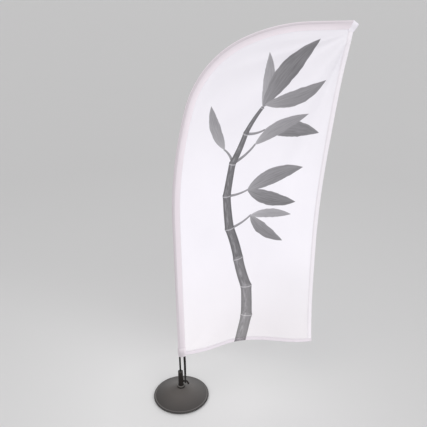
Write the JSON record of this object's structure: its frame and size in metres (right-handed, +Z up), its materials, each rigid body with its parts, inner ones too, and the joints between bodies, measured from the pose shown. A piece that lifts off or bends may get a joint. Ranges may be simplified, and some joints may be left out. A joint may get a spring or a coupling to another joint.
{
  "type": "tabletop sail flag",
  "caption": "Printed cloth sail flag sleeved over a rod bent to a level tip, held down by a stretch cord, turning on a round weighted cone base.",
  "frame": {"origin": "centre of the base pad's underside, on the surface the flag stands on and on the swivel axis", "axes": "+Z up along the swivel axis; +X from the rod towards the flag's free edge; +Y away from the printed face, so the print is read looking along +Y"},
  "size_m": [0.4085, 0.123, 0.7956],
  "materials": {
    "base_paint": "satin",
    "pad_foam": "matte",
    "cast_weight": "matte",
    "spindle_steel": "satin",
    "plated_steel": "satin",
    "bearing_plastic": "satin",
    "socket_paint": "satin",
    "black_plastic": "satin",
    "rod_fibre": "satin",
    "printed_cloth": "matte",
    "sleeve_cloth": "matte",
    "hem_cloth": "matte",
    "tape_cloth": "matte",
    "stretch_cord": "matte"
  },
  "bodies": {
    "base": {"base_pad": "pad_foam", "base_shell": "base_paint", "base_weight": "cast_weight", "spindle": "spindle_steel", "spindle_washer": "plated_steel", "spindle_nut": "plated_steel"},
    "bearing": {"thrust_washer": "bearing_plastic"},
    "flag": {"socket_body": "socket_paint", "socket_cap": "black_plastic", "spindle_bush": "bearing_plastic", "cord_hook": "socket_paint", "lower_rod": "rod_fibre", "upper_rod": "rod_fibre", "rod_joint_pin": "plated_steel", "tip_cap": "black_plastic", "flag_panel": "printed_cloth", "rod_sleeve": "sleeve_cloth", "trailing_hem": "hem_cloth", "bottom_hem": "hem_cloth", "tip_band": "tape_cloth", "corner_pocket": "tape_cloth", "tension_loop": "stretch_cord"}
  },
  "joints": [
    {"name": "swivel", "type": "hinge", "parent": "base", "child": "bearing", "pos_m": [0, 0, 0.031], "axis": [0, 0, 1], "continuous": true},
    {"name": "lift_off", "type": "slide", "parent": "bearing", "child": "flag", "axis": [0, 0, 1], "range_m": [0, 0.04]}
  ]
}
